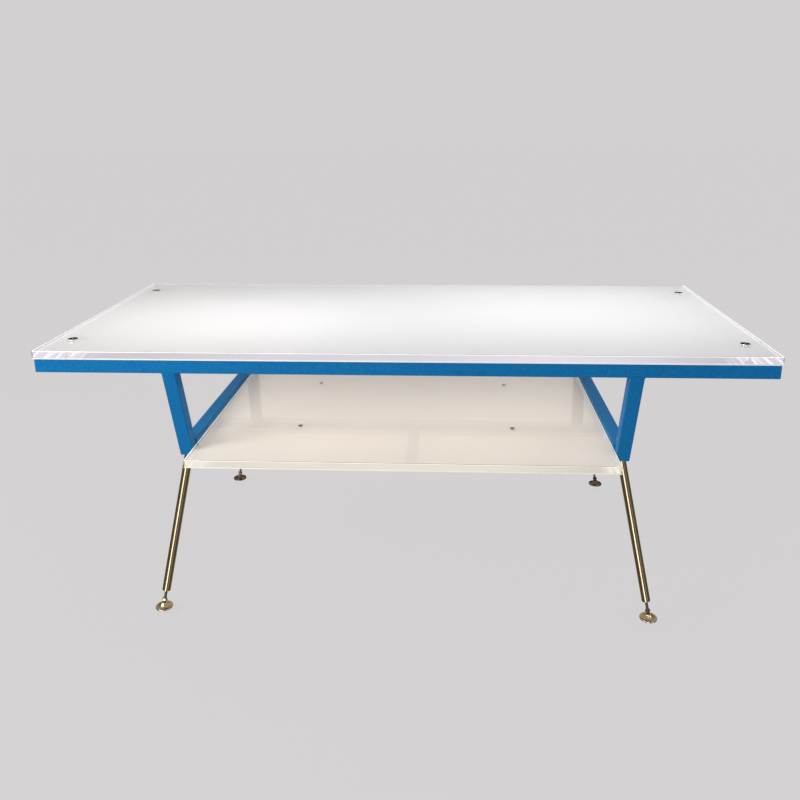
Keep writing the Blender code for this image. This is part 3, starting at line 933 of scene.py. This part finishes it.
def struts():
    """Leaning tubes, tapered at the foot and welded under the rails on three sides."""
    rail_low = low("top_rail_front").z
    side = high("top_rail_front").z - rail_low
    outline = rounded_outline(side, side)
    for corner, (sx, sy) in CORNERS.items():
        node = f"strut_{corner}"
        lowest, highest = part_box(node)
        outer = [max(abs(a), abs(b)) - side / 2 for a, b in zip(lowest, highest)]
        inner = [min(abs(a), abs(b)) + side / 2 for a, b in zip(lowest, highest)]
        head = Vector((sx * outer[0], sy * outer[1], highest.z))
        foot = Vector((sx * inner[0], sy * inner[1], lowest.z))
        head_end = 1.0 + (SEAM + TUBE_CORNER * HEAD_RISE) / (head.z - foot.z)
        levels = [foot.lerp(head, t) for t in (0.0, STRUT_TAPER_END, 0.5, 1.0, head_end)]
        loops = [[(c.x + x, c.y + y, c.z) for x, y in outline] for c in levels]
        loops[0] = [(foot.x + x * STRUT_TAPER, foot.y + y * STRUT_TAPER, foot.z)
                    for x, y in outline]
        weld_z = rail_low - SEAM - BEAD_RADIUS * WELD_DROP
        weld = [(head.x + x, head.y + y, weld_z) for x, y in outline]
        wrap = side / 2 - TUBE_CORNER * WELD_WRAP
        joined = [p for p in weld if sy * (p[1] - head.y) < wrap]
        start = next(i for i, p in enumerate(weld) if p in joined and weld[i - 1] not in joined)
        path = [weld[(start + i) % len(weld)] for i in range(len(joined))]
        blue(f"frame_strut_{corner}", merged(loft(loops), bead(path)), [node])


def side_rails():
    """Rails between the struts, with their ends cut to the struts' slope and welded."""
    strut_low, strut_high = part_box("strut_front_left")
    for name in SIDES:
        node = f"side_rail_{name}"
        lowest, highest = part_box(node)
        side, _, height = highest - lowest
        centre = (lowest + highest) / 2
        slope = (strut_high.y - strut_low.y - side) / (strut_high.z - strut_low.z)
        reach_low = highest.y - slope * height
        loops = [[(centre.x + x, sign * (reach_low + (highest.y - reach_low) * (z / height + 0.5)),
                   centre.z + z) for x, z in rounded_outline(side, height)]
                 for sign in ENDS.values()]
        beads = [bead(loop, closed=True) for loop in loops]
        blue(f"shelf_rail_{name}", merged(loft(loops), *beads), [node])


def cross_bars():
    """Rectangular tubes under the shelf, with moulded end plugs."""
    for end in ENDS:
        node = f"shelf_bar_{end}"
        lowest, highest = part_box(node)
        centre = (lowest + highest) / 2
        outline = rounded_outline(highest.y - lowest.y, highest.z - lowest.z)

        def run(stations):
            return loft([[(x, centre.y + y * k, centre.z + z * k) for y, z in outline]
                         for x, k in stations])

        bar = run([(lowest.x + END_PLUG, 1.0), (highest.x - END_PLUG, 1.0)])
        blue(f"cross_bar_{end}", bar, [node])
        straight, narrow = END_PLUG_DOME
        for side, sign in SIDES.items():
            edge = highest.x if sign > 0 else lowest.x
            plug = run([(edge - sign * END_PLUG, 1.0), (edge - sign * END_PLUG * straight, 1.0),
                        (edge, narrow)])
            piece(f"bar_plug_{end}_{side}", plug, [BLACK])


# ---- legs and feet


def leg_line(corner):
    """The ball of the foot, the leg's direction up from it, and the place of a part along it."""
    ball = Vector(joint(f"foot_swivel_{corner}")["pos_m"])
    direction = -Vector(joint(f"foot_adjust_{corner}")["axis"]).normalized()
    turn = Vector((0, 0, 1)).rotation_difference(direction)
    return ball, direction, Matrix.Translation(ball) @ turn.to_matrix().to_4x4()


def leg_radius(corner, direction):
    """The tube's radius, from how wide its level top is along the direction square to its lean."""
    ring = [v.co for v in frame["nodes"][f"leg_tube_{corner}"].data.vertices]
    highest = max(p.z for p in ring)
    across = Vector((-direction.y, direction.x, 0)).normalized()
    spread = [across.dot(p) for p in ring if highest - p.z < LEVEL_TOP]
    return (max(spread) - min(spread)) / 2


def legs():
    """Round tubes cut level at the strut, open at the foot, with a threaded bush pressed in."""
    for corner in CORNERS:
        node = f"leg_tube_{corner}"
        ball, direction, place = leg_line(corner)
        lowest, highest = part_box(node)
        radius = leg_radius(corner, direction)
        inner = radius - LEG_WALL
        flat = math.hypot(direction.x, direction.y)
        start = (lowest.z + radius * flat - ball.z) / direction.z
        rows = [(inner, start + LEG_MOUTH), (inner, start + LEG_EASE),
                (inner + LEG_EASE_INSIDE, start), (radius - LEG_EASE, start),
                (radius, start + LEG_EASE), (radius, start + LEG_RING)]
        loops = [[place @ Vector((x, y, z)) for x, y in circle(r)] for r, z in rows]
        loops.append([p + direction * ((highest.z - p.z) / direction.z) for p in loops[-1]])
        piece(f"leg_post_{corner}", loft(loops), [BRONZE], [node])
        mouth = start + BUSH_RECESS
        end = start + BUSH_LENGTH
        bush = [(0, end), (inner - SEAM, end), (inner - SEAM, mouth),
                (BUSH_HOLE + BUSH_CHAMFER, mouth), (BUSH_HOLE, mouth + BUSH_CHAMFER),
                (BUSH_HOLE, start + BUSH_HOLE_END), (0, start + BUSH_HOLE_END)]
        bm = moved(spun(rounded_profile(bush, BUSH_ROUND)), place)
        piece(f"leg_bush_{corner}", bm, [DARK], [f"leg_insert_{corner}"])


def thread(lowest, highest):
    """A threaded rod: one helical ridge on a plain core, ends included."""
    rows = int((highest - lowest) / THREAD_PITCH * THREAD_ROWS)
    loops = []
    for row in range(rows + 1):
        z = lowest + (highest - lowest) * row / rows
        fade = min(1.0, (highest - z) / THREAD_FADE)
        loop = []
        for i in range(THREAD_SIDES):
            phase = (z / THREAD_PITCH - i / THREAD_SIDES) % 1.0
            ridge = 1.0 - abs(2 * phase - 1.0)
            radius = STUD - THREAD_DEPTH * (1.0 - ridge * fade)
            angle = 2 * math.pi * i / THREAD_SIDES
            loop.append((radius * math.cos(angle), radius * math.sin(angle), z))
        loops.append(loop)
    return loft(loops)


def hex_collar():
    """A hexagonal nut with its corners turned off at both faces."""
    rim, out = COLLAR_RADIUS * COLLAR_FACE, COLLAR_RADIUS * COLLAR_REACH
    turned_down = [(0, COLLAR_HIGH), (rim, COLLAR_HIGH), (out, COLLAR_HIGH - COLLAR_CHAMFER),
                   (out, COLLAR_LOW + COLLAR_CHAMFER), (rim, COLLAR_LOW), (0, COLLAR_LOW)]
    nut = hex_prism(COLLAR_RADIUS, COLLAR_LOW, COLLAR_HIGH)
    return cut(nut, [spun(turned_down, HOLE_STEPS)], "INTERSECT")


def feet():
    """A threaded spindle with a hexagonal collar, and the domed disc that swivels on its ball."""
    for corner in CORNERS:
        ball, _, place = leg_line(corner)
        # The rear feet take the darker copy of the bronze: painted shade
        tone = BRONZE if corner.startswith("front") else SHADED_BRONZE
        neck_angle = math.acos(NECK / BALL)
        angles = (neck_angle - (neck_angle + math.pi / 2) * i / BALL_STEPS
                  for i in range(BALL_STEPS))
        sphere = [(BALL * math.cos(a), BALL * math.sin(a)) for a in angles]
        core = STUD - THREAD_DEPTH
        shaft = [(0, COLLAR_HIGH + NECK_EASE), (core, COLLAR_HIGH + NECK_EASE),
                 (core, COLLAR_LOW), (NECK + NECK_EASE, COLLAR_LOW),
                 (NECK, COLLAR_LOW - NECK_EASE), *sphere, (0, -BALL)]
        bm = merged(spun(shaft, SHAFT_STEPS), painted(hex_collar(), lambda p: True),
                    thread(COLLAR_HIGH, STUD_LENGTH))
        body = f"foot_stem_{corner}"
        piece(f"foot_spindle_{corner}", moved(bm, place), [DARK, tone], [body], body)
        foot_disc(corner, ball, tone)


def foot_disc(corner, ball, tone):
    """A bell-shaped disc: an open neck round the ball, a swept dome, a rim, a grooved underside."""
    body = f"foot_pad_{corner}"
    radius, lip = radius_of(body), high(body).z
    cup = BALL + CUP_ROOM
    open_angle = math.asin((lip - ball.z) / cup)
    angles = (-math.pi / 2 + (open_angle + math.pi / 2) * i / CUP_STEPS
              for i in range(1, CUP_STEPS + 1))
    hollow = [(cup * math.cos(a), ball.z + cup * math.sin(a)) for a in angles]
    width = radius - DISC_DOME_INSET - DISC_NECK
    rise = lip - DISC_DOME_DROP - DISC_RIM
    shares = [step / DISC_DOME_STEPS for step in range(DISC_DOME_STEPS + 1)]
    dome = [(DISC_NECK + width * t, DISC_RIM + rise * (1 - t) ** DISC_SWEEP) for t in shares]
    profile = [(0, ball.z - cup), *hollow,
               *((DISC_NECK - inward, lip - down) for inward, down in DISC_LIP), *dome,
               *((radius - inward, z) for inward, z in DISC_EDGE),
               *((radius * share, z) for share, z in DISC_GROOVE), (0, 0.0)]
    place = Matrix.Translation((ball.x, ball.y, low(body).z))
    bm = moved(spun(profile, DISC_STEPS), place)
    piece(f"foot_disc_{corner}", bm, [tone], [body], body, sharp=DISC_SHARP)


# ---- lighting and power


def trays():
    """White reflector pans, with three shallow stiffening ribs along X."""
    outline = rounded_outline(*PAN_RIB)
    for side in SIDES:
        node = f"reflector_tray_{side}"
        lowest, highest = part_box(node)
        ends = (lowest.x + PAN_RIB_END, highest.x - PAN_RIB_END)
        ribs = [loft([[(x, y + u, lowest.z + v) for u, v in outline] for x in ends])
                for y in (lowest.y * PAN_RIB_PLACE, 0.0, highest.y * PAN_RIB_PLACE)]
        pan = merged(block(lowest, highest), *ribs)
        piece(f"reflector_pan_{side}", pan, [WHITE], [node])


def hidden_lighting():
    """The guides and LED bars keep their CAD shape and take real finishes."""
    for side in SIDES:
        refinish(f"light_guide_{side}", CLEAR)
        for end in ENDS:
            refinish(f"led_bar_{side}_{end}", ALUMINIUM)


def refinish(node, finish):
    materials = frame["nodes"][node].data.materials
    materials.clear()
    materials.append(finish)


def driver_case():
    """An aluminium driver: a ribbed case between two moulded end caps."""
    lowest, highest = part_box("led_driver")
    body_low = Vector((lowest.x + DRIVER_CAP, lowest.y, lowest.z + DRIVER_EDGE))
    body_high = Vector((highest.x - DRIVER_CAP, highest.y, highest.z))
    inset, half_width, depth = DRIVER_RIB
    parts = [block(body_low, body_high, DRIVER_EDGE)]
    for i in range(DRIVER_RIBS):
        y = lowest.y + (highest.y - lowest.y) * (i + 1) / (DRIVER_RIBS + 1)
        rib_low = Vector((body_low.x + inset, y - half_width, lowest.z))
        rib_high = Vector((body_high.x - inset, y + half_width, lowest.z + depth))
        parts.append(block(rib_low, rib_high, DRIVER_RIB_EDGE))
    piece("driver_case", merged(*parts), [ALUMINIUM], ["led_driver"])
    for side, sign in SIDES.items():
        outer = highest.x if sign > 0 else lowest.x
        inner = outer - sign * (DRIVER_CAP - SEAM)
        cap_low = Vector((min(outer, inner), lowest.y, lowest.z + DRIVER_CAP_LIFT))
        cap_high = Vector((max(outer, inner), highest.y, highest.z))
        cap = block(cap_low, cap_high, DRIVER_CAP_EDGE)
        piece(f"driver_cap_{side}", cap, [BLACK])


def inlet():
    """A flanged inlet with a chamfered plug well, three pins and a well for the rocker."""
    lowest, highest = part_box("power_inlet")
    face = highest.y
    flange_low = Vector((lowest.x, high("top_rail_rear").y + SEAM, lowest.z))
    shell_low = Vector((lowest.x + INLET_RIM, lowest.y, lowest.z + INLET_RIM))
    shell_high = Vector((highest.x - INLET_RIM, face - SHELL_SINK, highest.z - INLET_RIM))
    shell = block(shell_low, shell_high, SHELL_EDGE)
    bm = cut(block(flange_low, highest, FLANGE_EDGE), [shell], "UNION")

    width, depth, height = PLUG_WELL
    well_x, _, well_z = middle("power_inlet") + Vector((PLUG_WELL_SHIFT, 0, 0))
    right, top, corner = width / 2, height / 2, PLUG_WELL_CORNER
    outline = [(-right, -top), (right, -top), (right, top - corner), (right - corner, top),
               (-right + corner, top), (-right, top - corner)]
    well = loft([[(well_x + x, y, well_z + z) for x, z in outline]
                 for y in (face - depth, face + PAST_INLET)])
    rocker_low, rocker_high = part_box(ROCKER)
    room = Vector(ROCKER_ROOM)
    room_low = Vector((rocker_low.x, face - ROCKER_WELL, rocker_low.z)) - room
    room_high = Vector((rocker_high.x, face + PAST_INLET, rocker_high.z)) + room
    bm = cut(bm, [well, block(room_low, room_high)])
    piece("inlet_shell", bm, [BLACK], ["power_inlet"])

    half = Vector(PIN_SIZE) / 2
    seats = [Vector((well_x + x, face - depth + half.y, well_z + z)) for x, z in PIN_PLACES]
    pins = [block(seat - half, seat + half, PIN_EDGE) for seat in seats]
    piece("inlet_pins", merged(*pins), [ALUMINIUM])


def rocker():
    """A curved rocker key, high at one end, with three grip lines."""
    lowest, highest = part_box(ROCKER)
    pivot = Vector(joint("switch_rock")["pos_m"])
    half_x = (highest.x - lowest.x) / 2
    reach = (highest.z - lowest.z) / 2 * ROCKER_REACH
    rows = []
    for i in range(ROCKER_STEPS + 1):
        t = 2 * i / ROCKER_STEPS - 1
        on_grip = any(abs(t - mark) < GRIP_HALF for mark in GRIPS)
        face = ROCKER_FACE - ROCKER_DIP * (1 - t * t) - (GRIP_DEPTH if on_grip else 0.0)
        rows.append((t * reach * ROCKER_CURVE, face))
    eased = half_x - ROCKER_EASE
    loops = []
    for x, inset in ((-half_x, ROCKER_EASE), (-eased, 0.0), (eased, 0.0), (half_x, ROCKER_EASE)):
        outline = [(x, y - inset, z * (1 - inset / reach)) for z, y in rows]
        back = -ROCKER_FACE + inset
        outline += [(x, back, rows[-1][0] - ROCKER_BACK), (x, back, rows[0][0] + ROCKER_BACK)]
        loops.append(outline)
    place = Matrix.Translation(pivot) @ Matrix.Rotation(math.radians(ROCKER_TILT), 4, "X")
    piece("rocker_key", moved(loft(loops), place), [BLACK], [ROCKER], ROCKER)


# ---- stage


def floor():
    bm = bmesh.new()
    bmesh.ops.create_circle(bm, cap_ends=True, segments=FLOOR_STEPS, radius=FLOOR_RADIUS)
    made = as_object("floor", bm)
    paper = Finish(
        "pale_paper", Roughness=0.9, Specular_IOR_Level=0.0,
        Base_Color=(0.03, 0.0295, 0.0297, 1.0),
        Emission_Color=(*PAPER, 1.0), Emission_Strength=FLOOR_GLOW)
    made.data.materials.append(paper.material)
    made.visible_glossy = False
    made.location.z = FLOOR_Z


def area_light(name, at, target, size, power, colour=(1.0, 1.0, 1.0)):
    lamp = bpy.data.lights.new(name, "AREA")
    lamp.shape = "RECTANGLE"
    lamp.size, lamp.size_y = size
    lamp.energy = power
    lamp.color = colour
    made = linked(name, lamp)
    made.location = at
    made.rotation_euler = (Vector(target) - Vector(at)).to_track_quat("-Z", "Y").to_euler()
    return made


def lights():
    """A warm key from the left, a fill from the right, an overhead, and light under the top."""
    area_light("key", at=(-2.6, -2.2, 1.9), target=(-0.5, 0.0, 0.5), size=(1.6, 1.4),
               power=95.0, colour=(1.0, 0.985, 0.96))
    area_light("fill", at=(3.4, -2.4, 2.2), target=(0.3, 0.0, 0.5), size=(2.0, 1.6), power=30.0)
    overhead = area_light("overhead", at=(0.4, 0.9, 3.6), target=(0.2, 0.2, 0.8),
                          size=(2.4, 1.6), power=24.0)
    overhead.visible_glossy = False
    under = area_light("under_top", at=(0.0, -0.12, 0.69), target=(0.0, -0.12, 0.0),
                       size=(1.7, 0.60), power=1.40, colour=(1.0, 0.97, 0.93))
    under.visible_camera = False
    under.visible_glossy = False
    under.visible_transmission = False


def world():
    """A plain studio: the paper's tone to the eye, soft all round, tall strips in the shine."""
    made = bpy.data.worlds.new("studio")
    bpy.context.scene.world = made
    made.use_nodes = True
    tree = Nodes(made.node_tree)
    sheet = tree.tree.nodes["Background"]
    sheet.inputs["Color"].default_value = (*PAPER, 1.0)
    x, y, z = tree.axes(tree.node("ShaderNodeTexCoord").outputs["Generated"])
    flat = tree.node("ShaderNodeCombineXYZ", {"X": x, "Y": y}).outputs["Vector"]
    unit = tree.node("ShaderNodeVectorMath", {0: flat}, operation="NORMALIZE").outputs["Vector"]
    above = tree.maths("MAXIMUM", tree.maths("SUBTRACT", z, STRIP_TOP), 0.0)
    fade = tree.maths("SUBTRACT", 1.0, tree.times(above, 1 / STRIP_FADE))
    fade = tree.maths("MAXIMUM", fade, 0.0)
    strength = tree.remap(z, *SHINE_RISE, *RISE_SPAN)
    for azimuth, sharpness, gain in STRIPS:
        angle = math.radians(azimuth)
        inputs = {0: unit, 1: (math.sin(angle), -math.cos(angle), 0.0)}
        facing = tree.node("ShaderNodeVectorMath", inputs, operation="DOT_PRODUCT")
        ahead = tree.maths("MAXIMUM", facing.outputs["Value"], 0.0)
        lobe = tree.times(tree.maths("POWER", ahead, sharpness), fade)
        strength = tree.plus(strength, tree.times(lobe, gain))
    shine = tree.node("ShaderNodeBackground", {"Strength": strength})
    room = tree.node("ShaderNodeBackground", {"Strength": tree.remap(z, *ROOM_RISE, *RISE_SPAN)})
    rays = tree.node("ShaderNodeLightPath").outputs
    seen = room.outputs["Background"]
    for ray, other in (("Is Glossy Ray", shine), ("Is Camera Ray", sheet)):
        inputs = {"Fac": rays[ray], 1: seen, 2: other.outputs["Background"]}
        seen = tree.node("ShaderNodeMixShader", inputs).outputs["Shader"]
    tree.feed(tree.tree.nodes["World Output"].inputs["Surface"], seen)


def camera():
    data = bpy.data.cameras.new("camera")
    data.lens = CAMERA_LENS
    data.sensor_width = SENSOR
    data.shift_x, data.shift_y = SHIFT
    made = linked("camera", data)
    ahead = Vector((math.sin(CAMERA_YAW) * math.cos(CAMERA_PITCH),
                    math.cos(CAMERA_YAW) * math.cos(CAMERA_PITCH), -math.sin(CAMERA_PITCH)))
    right = Vector((math.cos(CAMERA_YAW), -math.sin(CAMERA_YAW), 0.0))
    up = right.cross(ahead)
    rolled_right = right * math.cos(CAMERA_ROLL) + up * math.sin(CAMERA_ROLL)
    rolled_up = up * math.cos(CAMERA_ROLL) - right * math.sin(CAMERA_ROLL)
    turn = Matrix((rolled_right, rolled_up, -ahead)).transposed().to_4x4()
    made.matrix_world = Matrix.Translation(CAMERA_AT) @ turn
    bpy.context.scene.camera = made


camera()
world()
floor()
lights()
bpy.context.scene.view_settings.view_transform = "Standard"

top_panels()
cap_screws()
top_frame()
centre_beam()
tabs()
struts()
side_rails()
cross_bars()
shelf_panels()
shelf_screws()
legs()
feet()
trays()
hidden_lighting()
driver_case()
inlet()
rocker()
